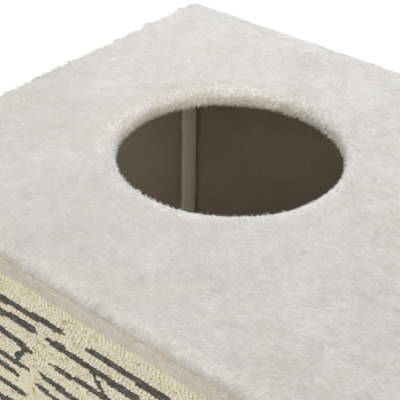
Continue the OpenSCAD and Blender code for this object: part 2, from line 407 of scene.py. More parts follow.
@dataclass(frozen=True)
class PlushFinish(Finish):
    """Short ivory pile, a little uneven in tone, with a soft sheen; or the ground its strands stand on."""

    name: str = "ivory plush"
    deep: Colour = linear(204, 196, 176)
    shade: Colour = linear(213, 208, 198)
    middle: Colour = linear(220, 217, 211)
    light: Colour = linear(238, 238, 235)
    dye_scale: float = 9.0
    dye_amount: float = 0.03
    roughness: float = 0.95
    sheen: float = 0.2
    knap_scale: float = 500.0
    knap_depth: float = 0.0

    def shader(self, bench: NodeBench, effects: SharedEffects, where: Socket) -> Socket:
        """Wire tone to a ramp of ivory under uneven dye; bump the ground, or let light through strands."""
        # On the pile, tone also carries painted shade and painted highlights, which this ramp turns into
        # darker, warmer and lighter ivory.
        stops = (0.0, self.deep), (0.28, self.shade), (0.55, self.middle), (1.0, self.light)
        colour = bench.ramp(bench.value("tone"), *stops)
        scale, amount = self.dye_scale, self.dye_amount
        dyed = bench.place(effects.mottle, Vector=where, Color=colour, Scale=scale, Amount=amount)
        wires = {"Base Color": dyed, "Roughness": self.roughness, "Specular IOR Level": 0.15}
        wires |= {"Sheen Weight": self.sheen, "Sheen Roughness": 0.6}
        if self.knap_depth:
            height = bench.place(effects.fibre, Vector=where, Scale=self.knap_scale)
            return bench.principled(wires | {"Normal": bench.bump(height, 0.7, self.knap_depth)})
        behind = bench.add("ShaderNodeNewGeometry").outputs["Backfacing"]
        through = bench.add("ShaderNodeBsdfTranslucent", {"Color": dyed}).outputs["BSDF"]
        both = bench.add("ShaderNodeMixShader", {0: behind, 1: bench.principled(wires), 2: through})
        return both.outputs["Shader"]


@dataclass(frozen=True)
class FeltFinish(Finish):
    """Thin needled felt in taupe, matted and a little uneven."""

    name: str = "taupe felt"
    dark: Colour = linear(173, 159, 137)
    pale: Colour = linear(190, 177, 156)
    fibre_scale: float = 650.0
    fibre_depth: float = 0.35 * MM

    def shader(self, bench: NodeBench, effects: SharedEffects, where: Socket) -> Socket:
        """Wire matted fibre to the colour and the bump, with uneven dye over it."""
        fibre = bench.place(effects.fibre, Vector=where, Scale=self.fibre_scale)
        colour = bench.ramp(fibre, (0.35, self.dark), (0.75, self.pale))
        dyed = bench.place(effects.mottle, Vector=where, Color=colour, Scale=14.0, Amount=0.05)
        normal = bench.bump(fibre, 0.6, self.fibre_depth)
        wires = {"Base Color": dyed, "Roughness": 0.95, "Specular IOR Level": 0.15, "Sheen Weight": 0.15}
        return bench.principled(wires | {"Normal": normal})


@dataclass(frozen=True)
class MatFinish(Finish):
    """Cream looped mat with olive flecks, and slate loops where the bark marks run."""

    name: str = "looped mat"
    fleck: Colour = linear(150, 139, 100)
    straw: Colour = linear(222, 212, 176)
    cream: Colour = linear(243, 236, 207)
    bright: Colour = linear(252, 249, 230)
    slate: Colour = linear(68, 66, 65)
    slate_pale: Colour = linear(126, 121, 113)

    def shader(self, bench: NodeBench, effects: SharedEffects, where: Socket) -> Socket:
        """Wire each loop's tone to the cream and the slate ramps, and its mark to the choice between them."""
        tone = bench.value("tone")
        cream = bench.ramp(tone, (0.0, self.fleck), (0.2, self.straw), (0.55, self.cream), (1.0, self.bright))
        slate = bench.ramp(tone, (0.0, self.slate), (1.0, self.slate_pale))
        mix = bench.add("ShaderNodeMix", {0: bench.value("mark"), 6: cream, 7: slate}, data_type="RGBA")
        dyed = bench.place(effects.mottle, Vector=where, Color=mix.outputs[2], Scale=25.0, Amount=0.05)
        normal = bench.bump(bench.place(effects.fibre, Vector=where, Scale=900.0), 0.5, 0.3 * MM)
        wires = {"Base Color": dyed, "Roughness": 0.9, "Specular IOR Level": 0.2, "Sheen Weight": 0.1}
        return bench.principled(wires | {"Normal": normal})


@dataclass(frozen=True)
class BoardFinish(Finish):
    """Raw particle board: pressed chips of several browns, rough at their edges."""

    name: str = "particle board"
    dark: Colour = linear(150, 117, 80)
    middle: Colour = linear(190, 156, 112)
    pale: Colour = linear(214, 186, 146)
    chip_scale: float = 320.0

    def shader(self, bench: NodeBench, effects: SharedEffects, where: Socket) -> Socket:
        """Wire one random tone for each Voronoi chip to the browns, and the chips' edges to the bump."""
        bent = bench.add("ShaderNodeMapping", {"Vector": where, "Scale": (1.0, 0.45, 1.0)}).outputs["Vector"]
        wires = {"Vector": bent, "Scale": self.chip_scale, "Randomness": 1.0}
        chip = bench.add("ShaderNodeTexVoronoi", wires).outputs
        one = bench.add("ShaderNodeSeparateColor", {"Color": chip["Color"]}).outputs[0]
        colour = bench.ramp(one, (0.0, self.dark), (0.45, self.middle), (1.0, self.pale))
        dyed = bench.place(effects.mottle, Vector=where, Color=colour, Scale=18.0, Amount=0.06)
        marks = bench.place(effects.scuff, Vector=where, Scale=60.0, Low=0.7, High=0.9)
        normal = bench.bump(chip["Distance"], 0.4, 0.3 * MM)
        return bench.principled({"Base Color": dyed, "Roughness": marks, "Normal": normal})


@dataclass(frozen=True)
class MetalFinish(Finish):
    """Plated steel with a cloudy bloom and handling marks."""

    colour: Colour
    low: float
    high: float
    bloom_scale: float

    def shader(self, bench: NodeBench, effects: SharedEffects, where: Socket) -> Socket:
        """Wire a cloudy plating to the colour and handling marks to the roughness."""
        plain = (*self.colour, 1.0)
        dyed = bench.place(effects.mottle, Vector=where, Color=plain, Scale=self.bloom_scale, Amount=0.12)
        marks = bench.place(effects.scuff, Vector=where, Scale=420.0, Low=self.low, High=self.high)
        return bench.principled({"Base Color": dyed, "Metallic": 1.0, "Roughness": marks})


@dataclass(frozen=True)
class GlideFinish(Finish):
    """Moulded dark plastic with a fine spark-eroded grain and worn patches."""

    name: str = "glide plastic"
    colour: Colour = linear(58, 57, 56)
    grain_scale: float = 2200.0

    def shader(self, bench: NodeBench, effects: SharedEffects, where: Socket) -> Socket:
        """Wire a fine grain to the bump, and handling marks to the roughness."""
        plain = (*self.colour, 1.0)
        dyed = bench.place(effects.mottle, Vector=where, Color=plain, Scale=160.0, Amount=0.15)
        normal = bench.bump(bench.noise(where, self.grain_scale, 1.0), 0.3, 0.1 * MM)
        marks = bench.place(effects.scuff, Vector=where, Scale=90.0, Low=0.45, High=0.65)
        return bench.principled({"Base Color": dyed, "Roughness": marks, "Normal": normal})


class Facing(Enum):
    """Which way a panel's outer face looks; each value gives the panel's x, y and z axes in the row frame."""

    UP = ((1, 0, 0), (0, 1, 0), (0, 0, 1))
    FRONT = ((1, 0, 0), (0, 0, 1), (0, -1, 0))
    RIGHT = ((0, 1, 0), (0, 0, 1), (1, 0, 0))
    BACK = ((-1, 0, 0), (0, 0, 1), (0, 1, 0))
    LEFT = ((0, -1, 0), (0, 0, 1), (-1, 0, 0))


class Way(Enum):
    """What is in the middle of a panel's face."""

    PLAIN = "plain"
    ROUND = "round"
    WINDOW = "window"


def node_points(node: str) -> Array:
    """Read the vertices of a CAD node as an array of points."""
    mesh = frame["nodes"][node].data
    flat = np.zeros(len(mesh.vertices) * 3, np.float32)
    mesh.vertices.foreach_get("co", flat)
    return flat.reshape(-1, 3).astype(float)


@dataclass
class Panel:
    """One board of the box with its own frame, sized from its CAD nodes."""

    name: str
    facing: Facing
    way: Way = Way.PLAIN
    origin: Array = field(init=False)
    axes: Array = field(init=False)
    board: Array = field(init=False)
    cover: Array = field(init=False)
    centre: Array = field(init=False)
    opening: float = field(init=False, default=0.0)
    opening_hem: float = field(init=False, default=0.0)
    lining: str = field(init=False)

    def __post_init__(self) -> None:
        """Measure the board, its cover and the way through it in the panel's frame."""
        self.axes = np.array(self.facing.value, float)
        corners = node_points(f"{self.name}_board")
        self.origin = (corners.min(0) + corners.max(0)) / 2
        self.origin = self.origin + self.axes[2] * self.local(corners)[:, 2].min()
        self.board = self.span(f"{self.name}_board")
        self.cover = self.span(f"{self.name}_cover")
        self.centre = np.zeros(2)
        self.lining = "ceiling_lining" if self.name == "top" else f"{self.name}_lining"
        if self.way is Way.ROUND:
            hole = "top_hole" if self.facing is Facing.UP else "front_door"
            box = next(o["box_m"] for o in frame["record"]["physics"]["openings"] if o["name"] == hole)
            self.centre = self.local(np.array(box)).mean(0)[:2]
            self.opening = self.reach(f"{self.name}_cover")
            self.opening_hem = self.reach(self.lining) - 0.5 * MM

    def local(self, points: Array) -> Array:
        """Turn points of the row frame into the panel's frame."""
        return (points - self.origin) @ self.axes.T

    def world(self, points: Array) -> Array:
        """Turn points of the panel's frame into the row frame."""
        return points @ self.axes + self.origin

    def span(self, node: str) -> Array:
        """Give a node's lowest and highest corner in the panel's frame."""
        points = self.local(node_points(node))
        return np.array([points.min(0), points.max(0)])

    def reach(self, node: str) -> float:
        """Give the least distance of a node's points from the axis of the way through the panel."""
        return float(np.linalg.norm(self.local(node_points(node))[:, :2] - self.centre, axis=1).min())

    def sheet(self, name: str, grid: Array, pole: bool, values: dict[str, Array] | None = None) -> Piece:
        """Make a sheet from a grid whose rows run round the panel.

        Args:
            name: name of the piece.
            grid: rows, columns and three coordinates in the panel's frame.
            pole: whether the rows end in one place or on one line, where the points are merged.
            values: named values for each point of the grid.

        Returns:
            The sheet, in the row frame.
        """
        piece = mesh_object(name, self.world(grid.reshape(-1, 3)), grid_faces(*grid.shape[:2], True), values)
        if pole:
            weld(piece)
        return piece


@dataclass
class RoundedOutline:
    """Rounded rectangle walked anticlockwise: a point is core(u) plus the radius times direction(u)."""

    half: Array
    radius: float
    per_side: int = 64
    per_corner: int = 7

    def walk(self, inset: Array) -> Array:
        """Give the outline moved inwards: the radius shrinks first, and then the core rectangle.

        Args:
            inset: distances inwards, one for each row of points, or two where x and y differ.

        Returns:
            Points in the plane, with rows, columns and two coordinates.
        """
        run = np.linspace(-1, 1, self.per_side + 2)[1:-1]
        side = np.concatenate([np.stack([np.ones_like(run), run], axis=-1), np.ones((self.per_corner, 2))])
        bend = np.concatenate([np.zeros(self.per_side), np.linspace(0, 90, self.per_corner)])
        quarter = np.array([[0, 1], [-1, 0]])
        core = np.concatenate([side @ np.linalg.matrix_power(quarter, turn) for turn in range(4)])
        angle = np.radians(np.concatenate([bend + 90 * turn for turn in range(4)]))
        away = np.stack([np.cos(angle), np.sin(angle)], axis=-1)
        inset = np.asarray(inset, float).reshape(len(inset), 1, -1)
        past = np.maximum(inset - self.radius, 0)
        return core * (self.half - self.radius - past) + (self.radius - np.minimum(inset, self.radius)) * away


@dataclass
class WrappedCloth:
    """Plush pulled round a board: face, rounded edges, a lip round any way in, and hems stapled behind."""

    HEM = np.array([0.35, 0.7, 1.0, 1.0])
    BARE_LIP_ROWS = 8
    FACE_TONE, SIDE_TONE, BARE_TONE = 0.5, 0.15, 0.0
    WAVES = (38 * MM, 1.0), (13 * MM, 0.6)
    CUT_WOBBLES = (11 * MM, 1.0), (4 * MM, 0.5)

    panel: Panel
    noise: LatticeNoise
    sink: float = 0.9 * MM
    hem_sink: float = -0.1 * MM
    outset: float = 0.1 * MM
    edge_radius: float = 6.5 * MM
    turn_radius: float = 2.0 * MM
    lip_radius: float = 8.5 * MM
    lip_gap: float = 2.2 * MM
    hem_overlap: float = 2.2 * MM
    window_bend: float = 1.0 * MM
    corner_radius: float = 9.0 * MM
    cloth: float = 1.2 * MM
    wave: float = 0.35 * MM
    cut_wobble: float = 0.9 * MM
    face_rows: int = 30
    window: Array | None = None
    grid: Array = field(init=False)
    lip_rows: int = field(init=False, default=0)

    def heights(self) -> tuple[float, float]:
        """Give the cloth's outer height over the face and under the hem, in the panel's frame."""
        return self.panel.cover[1, 2] - self.sink, self.panel.cover[0, 2] + self.hem_sink

    def _bend(self, start: float, stop: float, count: int, upper: float) -> tuple[Array, Array, Array]:
        """Give radius, cosine and height along a bend: an arc of the upper radius above one of the turn's."""
        top, under = self.heights()
        cos, sin = arc(start, stop, count)
        r = np.where(sin >= 0, upper, self.turn_radius)
        return r, cos, np.where(sin >= 0, top - r, under + r) + r * sin

    def edge_profile(self) -> tuple[Array, Array]:
        """Round the outer edge: quarter arc from the face, straight side, quarter arc to the hem, hem, cut.

        Returns:
            Insets from the outline in x and y, and heights.
        """
        under = self.heights()[1]
        r, cos, height = self._bend(90, -90, 15, self.edge_radius)
        bend = np.repeat((r - r * cos)[:, None], 2, axis=1)
        hem = bend[-1] + (self.hem_width() - bend[-1]) * self.HEM[:, None]
        return np.concatenate([bend, hem]), np.concatenate([height, [under, under, under, -self.hem_sink]])

    def hem_width(self) -> Array:
        """Give how far the hem reaches in along x and y, from the outline to the lining or the bare board."""
        panel = self.panel
        if panel.lining in frame["nodes"]:
            inner = panel.span(panel.lining)[1, :2] + self.hem_overlap
        else:
            behind = panel.local(node_points(f"{panel.name}_cover"))
            behind = np.abs(behind[behind[:, 2] < panel.cover[0, 2] + 0.05 * MM][:, :2])
            inner = np.full(2, behind.max(axis=1).min())
        return panel.cover[1, :2] - inner

    def lip_profile(self) -> tuple[Array, Array]:
        """Round the lip of the way in: cut, hem behind, quarter arc, straight lip, quarter arc to the face.

        Returns:
            Radii from the way's axis, or distances out from the window, and heights.
        """
        top, under = self.heights()
        if self.panel.way is Way.WINDOW:
            cos, sin = arc(180, 90, 5)
            bend, low = self.window_bend, self.panel.board[1, 2] + 0.1 * MM
            out = np.concatenate([[0.0], bend + bend * cos])
            return out, np.concatenate([[low], top - bend + bend * sin])
        r, cos, height = self._bend(270, 90, 19, self.lip_radius)
        radius = self.panel.opening + self.lip_gap + r + r * cos
        far = self.panel.opening_hem
        radii = np.concatenate([[far, far, (far + radius[0]) / 2], radius])
        return radii, np.concatenate([[-self.hem_sink, under, under], height])

    def build(self) -> Piece:
        """Carry the profiles round the outline and join them by the face, whose rows slide from lip to edge.

        Returns:
            The cloth, in the row frame.
        """
        panel, top = self.panel, self.heights()[0]
        inset, edge_height = self.edge_profile()
        rim = RoundedOutline(panel.cover[1, :2] + self.outset, self.corner_radius).walk(inset)
        inner, inner_height = np.zeros((1, *rim.shape[1:])), np.array([top])
        if panel.way is not Way.PLAIN:
            out, inner_height = self.lip_profile()
            inner = self._way_rows(out, rim[0])
        self.lip_rows = len(inner)
        share = np.linspace(0, 1, self.face_rows + 2)[1:-1].reshape(-1, 1, 1)
        plane = np.concatenate([inner, inner[-1] * (1 - share) + rim[0] * share, rim])
        heights = np.concatenate([inner_height, np.full(self.face_rows, top), edge_height])
        self.grid = self._uneven(raised(plane, heights))
        tone = np.full(plane.shape[:2], self.FACE_TONE)
        tone[-len(rim) // 2 :] = self.SIDE_TONE
        tone[-len(self.HEM) :] = self.BARE_TONE
        if panel.way is Way.ROUND:
            tone[: self.BARE_LIP_ROWS] = self.BARE_TONE
        piece = panel.sheet(f"{panel.name}_plush", self.grid, panel.way is Way.PLAIN, {"tone": tone})
        thicken(piece, self.cloth)
        return piece

    def _way_rows(self, out: Array, rim: Array) -> Array:
        """Give the rows round the way in: circles about its axis, or the window's outline grown outwards."""
        if self.panel.way is Way.WINDOW:
            return RoundedOutline(self.window + out.max(), out.max() + 0.5 * MM).walk(out.max() - out)
        return self.panel.centre + unit(rim - self.panel.centre) * out.reshape(-1, 1, 1)

    def _uneven(self, grid: Array) -> Array:
        """Let the cloth wave a little over the face and end in a hand-cut hem.

        Args:
            grid: rows, columns and three coordinates in the panel's frame.

        Returns:
            The grid moved by noise: the face along z, and the hem's last two rows along the plane.
        """
        made = grid.copy()
        shift = np.array([0.37, 0.11, 0.73]) * (1 + len(self.panel.name))
        face = slice(self.lip_rows, self.lip_rows + self.face_rows)
        fade = np.sin(np.linspace(0, np.pi, self.face_rows)).reshape(-1, 1) ** 0.5
        made[face, :, 2] += fade * self.wave * self.noise.mix(made[face] + shift, *self.WAVES)
        wobble = self.noise.mix(made[-1] + shift, *self.CUT_WOBBLES)
        inward = unit(made[-3, :, :2] - made[-2, :, :2])
        made[-2:, :, :2] += inward * (self.cut_wobble * wobble)[None, :, None]
        return made

    def flat_size(self) -> tuple[float, float, float]:
        """Give the cut's width, length and area: the face, its edges and hems laid flat, less the way in."""
        wide, tall = 2 * self.panel.cover[1, :2]
        deep = self.panel.cover[1, 2] - self.panel.cover[0, 2]
        saved_by_rounding = 0.86 * self.edge_radius
        more = 2 * (deep + self.hem_width() - saved_by_rounding)
        area = (wide + more[0]) * (tall + more[1]) - more[0] * more[1]
        if self.panel.way is Way.ROUND:
            flap = self.panel.opening - deep - (self.panel.opening_hem - self.panel.opening)
            area -= math.pi * max(flap, 0.0) ** 2
        if self.panel.way is Way.WINDOW:
            area -= 4 * float(self.window.prod())
        return float(wide + more[0]), float(tall + more[1]), float(area)


@dataclass(frozen=True)
class Nap:
    """How the pile of one panel is grown.

    comb is the way it lies in the panel's plane, density the strands on each square metre, and parts the
    number of pieces it is kept in. The share of painted warm shade in the crease moves the tones just under
    the panel's upper edge to the warm, darker end. wisps is how far fine noise stirs the shading, and fringe
    how far strands stick out past the panel's back and right edges.
    """

    comb: tuple[float, float]
    density: float
    seed: int
    parts: int = 1
    crease_shade: float = 0.0
    wisps: float = 0.2
    fringe: float = 0.0


@dataclass
class Roots:
    """The roots of a pile in the panel's frame, with one row for each strand.

    place and normal are where a root is and which way the cloth faces there. lip is 1 in the roll round
    the way in, and halo in a wider ring. hang runs from 1 where the pile is brushed over that lip to -1
    where it is brushed off it. rolled tells which roots are on the panel's rounded edge. edge is 1 in the
    clumps that stand along it, and past where strands stick out past it.
    """

    place: Array
    normal: Array
    lip: Array
    halo: Array
    hang: Array
    rolled: Array
    edge: Array
    past: Array

    @property
    def rise(self) -> Array:
        """Give 1 for roots on the panel's face, 0 for those on its sides and -1 for those behind it."""
        return self.normal[:, 2:]

    @property
    def upright(self) -> Array:
        """Give 1 for roots where the cloth stands on edge."""
        return 1 - np.abs(self.rise)


@dataclass
class Pile:
    """Cut pile on a cloth: tapered, bent strands, rooted at random and combed along a nap that swirls."""

    KITE = [[0, 1, 2], [1, 3, 2]]
    # Painted shade at each strand's root and a painted highlight at its tip.
    PAINTED_SHADE_AND_LIGHT = np.array([-0.12, 0.0, 0.0, 0.05])
    SWIRLS = (42 * MM, 1.0), (15 * MM, 0.9), (7 * MM, 0.6)
    PATCHES = 9 * MM, 30 * MM
    CLUMP, RUFFLE, TUFT, WISP = 7 * MM, 4 * MM, 6 * MM, 3 * MM

    cloth: WrappedCloth
    noise: LatticeNoise
    nap: Nap
    length: tuple[float, float] = (3.8 * MM, 6.2 * MM)
    width: tuple[float, float] = (0.65 * MM, 1.1 * MM)
    root_depth: float = 0.25 * MM
    bend_shares: tuple[float, float] = (0.45, 0.55)
    lean: tuple[float, float] = (10.0, 22.0)
    tip_lean: tuple[float, float] = (-5.0, 5.0)
    loose_lift: tuple[float, float] = (28.0, 30.0)
    upright_lift: float = 8.0
    past_lift: float = 36.0
    swirl: float = 0.7
    fly_away: float = 0.04
    gloss: float = 0.25
    tufts: float = 0.16
    brushed: tuple[float, float] = (0.58, 0.81)
    lip_ring: tuple[float, float] = (15 * MM, 5 * MM)
    halo_ring: tuple[float, float] = (22 * MM, 12 * MM)
    edge_reach: float = 6 * MM
    roll_reach: float = 12 * MM
    crease_reach: float = 60 * MM
    mean_tone: float = 0.55
    tone_spread: float = 0.12

    def scatter(self, blocks: list[Array]) -> tuple[Array, Array]:
        """Scatter roots over the furred rows in proportion to area, and drop those that other panels cover.

        Args:
            blocks: lowest and highest corners of the other panels' covers, in the row frame.

        Returns:
            Root points and outward directions, in the panel's frame.
        """
        first = 3 if self.cloth.panel.way is Way.ROUND else 0
        grid = self.cloth.grid[first : -len(self.cloth.HEM)]
        beside = np.roll(grid, -1, axis=1)
        p00, p10, p01, p11 = grid[:-1], grid[1:], beside[:-1], beside[1:]
        across = np.cross(p11 - p00, p01 - p10).reshape(-1, 3)
        area = np.linalg.norm(across, axis=1) / 2
        rng = np.random.default_rng(self.nap.seed)
        count = int(area.sum() * self.nap.density)
        pick = rng.choice(len(area), count, p=area / area.sum())
        s, t = rng.random((2, count, 1))
        corner = [p.reshape(-1, 3)[pick] for p in (p00, p10, p01, p11)]
        root = (corner[0] * (1 - s) + corner[1] * s) * (1 - t) + (corner[2] * (1 - s) + corner[3] * s) * t
        place = self.cloth.panel.world(root)
        free = np.ones(count, bool)
        for low, high in blocks:
            free &= ~((place > low - 2 * MM) & (place < high + 2 * MM)).all(axis=1)
        return root[free], unit(across[pick][free])

    def zones(self, place: Array, normal: Array) -> Roots:
        """Find where each root lies: its distance from the way in and the outline, broken up by noise.

        Args:
            place: root points in the panel's frame.
            normal: outward directions.

        Returns:
            The roots with their zones.
        """
        panel, fringe = self.cloth.panel, self.nap.fringe
        lip = halo = hang = np.zeros((len(place), 1))
        if panel.way is Way.ROUND:
            inward = panel.centre - place[:, :2]
            away = np.linalg.norm(inward, axis=1, keepdims=True) - panel.opening
            rings = (self.lip_ring, self.halo_ring)
            lip, halo = (np.clip((reach - away) / fade, 0, 1) for reach, fade in rings)
            hang = unit(inward) @ unit(np.array(self.brushed))[:, None]
        rim = np.min(panel.cover[1, :2] - np.abs(place[:, :2]), axis=1, keepdims=True)
        band = np.clip(1.6 - rim / self.edge_reach, 0, 1) * (normal[:, 2:] > 0.3)
        clumps = np.clip(0.4 + 1.8 * self.noise.at(place + 0.37, self.CLUMP), 0, 1)[:, None]
        ruffle = np.clip(0.5 + 1.4 * self.noise.at(place + 0.71, self.RUFFLE), 0, 1)[:, None]
        edge = band * clumps * (1 - 0.6 * fringe * np.clip(3 * normal[:, :1], 0, 1))
        right, back = np.hsplit(np.clip(np.array([0.0, 0.3]) + 2 * normal[:, :2], 0, 1), 2)
        past = fringe * band * np.maximum(back * ruffle, 0.4 * right)
        return Roots(place, normal, lip, halo, hang, rim < self.roll_reach, edge, past)

    def lay(self, at: Roots, rng: Draws) -> Array:
        """Comb the strands along the cloth: the nap's direction turned by noise, leaning back over edges."""
        places = at.place + np.array([0.9, 0.4, 0.2]) * (1 + self.nap.seed % 7)
        turn = self.swirl * self.noise.mix(places, *self.SWIRLS)
        turn = turn + rng.normal(0, 0.33, len(turn)) + math.atan2(self.nap.comb[1], self.nap.comb[0])
        lay = np.stack([np.cos(turn), np.sin(turn), np.full(len(turn), -1.3)], axis=-1)
        return unit(lay - at.normal * (lay * at.normal).sum(axis=1, keepdims=True))

    def strands(self, at: Roots, rng: Draws) -> tuple[Array, Array, Array]:
        """Raise each strand as a slim kite: steep to its widest place, then nearly flat to a point.

        Args:
            at: the roots.
            rng: seeded source of the strands' sizes and angles.

        Returns:
            Four points for each strand, its own outward direction, and whether it flies loose.
        """
        normal, size = at.normal, at.rise.shape
        lay = self.lay(at, rng)
        side = np.cross(normal, lay)
        drop = 0.12 + 0.88 * np.clip(1 - at.rise / 0.6, 0, 1)
        loose = rng.random(size) < self.fly_away + 0.3 * at.lip * drop + 0.5 * at.edge + 0.5 * at.past
        proud = np.maximum(at.lip, at.edge)
        short = np.where(at.rolled, np.interp(at.rise, [-1.0, 0.0, 1.0], [0.25, 0.5, 1.0]), 1.0)
        stretch = np.maximum(np.maximum(short, 1.5 * at.past), 1.3 * at.edge)
        long = rng.uniform(*self.length, size) * np.where(loose, 0.75 + 0.25 * proud, 1.0) * stretch
        wide = rng.uniform(*self.width, size) * np.where(loose, 0.4 + 0.4 * proud, 1.0)
        lift, tip_lift = (np.where(loose, degrees, 0) for degrees in self.loose_lift)
        past_lift = self.past_lift * at.past
        steep = np.radians(rng.uniform(*self.lean, size) + lift + self.upright_lift * at.upright + past_lift)
        shallow = np.radians(rng.uniform(*self.tip_lean, size) + tip_lift + past_lift)
        curl = rng.normal(0, 0.12, size)
        base = at.place - normal * self.root_depth
        to_bend, to_tip = (share * long for share in self.bend_shares)
        middle = base + to_bend * (np.cos(steep) * lay + np.sin(steep) * normal)
        tip = middle + to_tip * (np.cos(shallow) * (lay + curl * side) + np.sin(shallow) * normal)
        points = np.stack([base, middle - side * wide / 2, middle + side * wide / 2, tip], axis=1)
        own = unit(np.cross(side, tip - base))
        return points, own * np.sign((own * normal).sum(axis=1, keepdims=True)), loose

    def shading(self, at: Roots, own: Array, rng: Draws) -> Array:
        """Soften shading: the cloth's outward direction, lifted at the lip, with tufts and wisps of noise.

        Args:
            at: the roots.
            own: outward directions of the strands themselves.
            rng: seeded source of each strand's own turn.

        Returns:
            One shading direction for each strand, in the panel's frame.
        """
        rough = np.clip(0.5 + (at.place[:, :1] - at.place[:, 1:2]) / (500 * MM), 0, 1)
        tuft = np.stack([self.noise.at(at.place + shift, self.TUFT) for shift in (0.13, 0.47, 0.83)], axis=-1)
        wisp = np.stack([self.noise.at(at.place + shift, self.WISP) for shift in (0.21, 0.53, 0.91)], axis=-1)
        lifted = unit(at.normal + at.lip * (0.15 + 0.85 * np.clip(at.hang + 0.4, 0, 1)) * UP)
        stirred = lifted + self.gloss * (own - at.normal) + self.tufts * tuft + self.nap.wisps * rough * wisp
        return unit(stirred + rng.normal(0, 0.04, own.shape))

    def tones(self, at: Roots, loose: Array, rng: Draws) -> Array:
        """Tone strands: patches of noise, with painted shade and painted highlights.

        Painted shade falls where the cloth turns under, in the crease and on the lip's far side; painted
        highlights where strands stand off or hang over the near side of the lip.

        Args:
            at: the roots.
            loose: which strands fly loose.
            rng: seeded source of each strand's own tone.

        Returns:
            A tone from 0 to 1 for each of the four points of each strand.
        """
        crease_shade, height = self.nap.crease_shade, self.cloth.panel.world(at.place)[:, 2:]
        places = at.place + np.array([0.31, 0.77, 0.59])
        fine, wide = (self.noise.at(places, scale)[:, None] for scale in self.PATCHES)
        patch = self.mean_tone + 0.07 * fine + 0.06 * wide
        # Masks for the lip: its near side gets a painted highlight, and its far side painted shade.
        over, far_side_shade = np.clip(at.hang, 0, 1) * at.lip, np.clip(-at.hang, 0, 1) ** 2
        # Painted warm shade in the crease: tones just under the panel's upper edge move towards the warm,
        # darker end, with less spread.
        crease = np.clip(1 - (height.max() - height) / self.crease_reach, 0, 1)
        # Painted shade: tones darker where the cloth turns under at the rounded edge and round the lip, most
        # on its far side.
        under = np.clip(0.7 - at.rise, 0, 1) * np.where(at.rolled, 0.3, at.lip * (0.4 + 0.35 * far_side_shade))
        spread = self.tone_spread * (1 + 0.6 * at.upright + 1.2 * at.lip) * (1 - 1.5 * crease_shade * crease)
        tone = patch + rng.normal(0, 1, patch.shape) * spread - under - crease_shade * crease
        # Painted highlights: loose strands at the lip and outer edge, and strands hanging over the near side
        # of the lip, are lighter.
        tone += 0.2 * loose * np.maximum(at.lip, 0.5 * at.edge) + 0.35 * over * np.clip(1.6 * at.rise, 0, 1)
        # Painted highlight on strands that stick out past the back and right edges, and painted shade on the
        # far side of the lip's wider ring.
        tone += 0.3 * at.past - 0.12 * far_side_shade * at.halo
        return np.clip(tone + self.PAINTED_SHADE_AND_LIGHT, 0, 1)

    def build(self, blocks: list[Array]) -> list[Piece]:
        """Grow the strands, shade and tone them, and part them by the angle round the panel's middle.

        Args:
            blocks: lowest and highest corners of the other panels' covers, in the row frame.

        Returns:
            The pile, in as many pieces as it needs, each one sector of the panel.
        """
        panel, parts = self.cloth.panel, self.nap.parts
        rng = np.random.default_rng(self.nap.seed + 1)
        at = self.zones(*self.scatter(blocks))
        points, own, loose = self.strands(at, rng)
        shade = self.shading(at, own, rng) @ panel.axes
        tone = self.tones(at, loose, rng)
        sectors = np.array_split(np.argsort(np.arctan2(at.place[:, 1], at.place[:, 0])), parts)
        made = []
        for number, chosen in enumerate(sectors, 1):
            local = points[chosen].reshape(-1, 3)
            plan = 0.5 + local[:, :2] / (2.2 * panel.cover[1, :2])
            name = f"{panel.name}_pile" + (f"_{number}" if parts > 1 else "")
            faces, normals = copies(self.KITE, len(chosen)), np.repeat(shade[chosen], 4, axis=0)
            made.append(mesh_object(name, panel.world(local), faces, {"tone": tone[chosen]}, plan, normals))
        return made


@dataclass
class FeltLining:
    """Felt glued to the inner face of a board, lying a little unevenly, its edges tucked under the hems."""

    panel: Panel
    noise: LatticeNoise
    thickness: float = 0.5 * MM
    lift: float = 0.15 * MM
    wave: float = 0.12 * MM
    tuck: float = 2.4 * MM
    rows: int = 26
    corner_radius: float = 1.5 * MM

    def build(self) -> Piece:
        """Slide rows from the outline in to the middle or the way in, and let noise lift them.

        Returns:
            The felt, in the row frame, facing into the cabin.
        """
        panel = self.panel
        low, high = panel.span(panel.lining)
        middle = (low + high)[:2] / 2
        half = (high - low)[:2] / 2 + self.tuck
        edge = RoundedOutline(half, self.corner_radius, 40, 4).walk(np.zeros(1))[0] + middle
        inner = np.broadcast_to(middle, edge.shape)
        if panel.way is Way.ROUND:
            inner = panel.centre + unit(edge - panel.centre) * panel.reach(panel.lining)
        share = np.linspace(0, 1, self.rows).reshape(-1, 1, 1)
        grid = raised(edge * (1 - share) + inner * share, np.zeros(self.rows))
        grid[..., 2] = low[2] + self.lift + self.wave * self.noise.at(grid + 0.61, 30 * MM)
        piece = panel.sheet(panel.lining.replace("_lining", "_felt"), grid, panel.way is not Way.ROUND)
        thicken(piece, self.thickness)
        return piece

    def flat_size(self) -> tuple[float, float, float]:
        """Give the felt's width, height and area, less the way in."""
        low, high = self.panel.span(self.panel.lining)
        wide, tall = (high - low)[:2] + 2 * self.tuck
        cut = math.pi * self.panel.reach(self.panel.lining) ** 2 if self.panel.way is Way.ROUND else 0.0
        return float(wide), float(tall), float(wide * tall - cut)


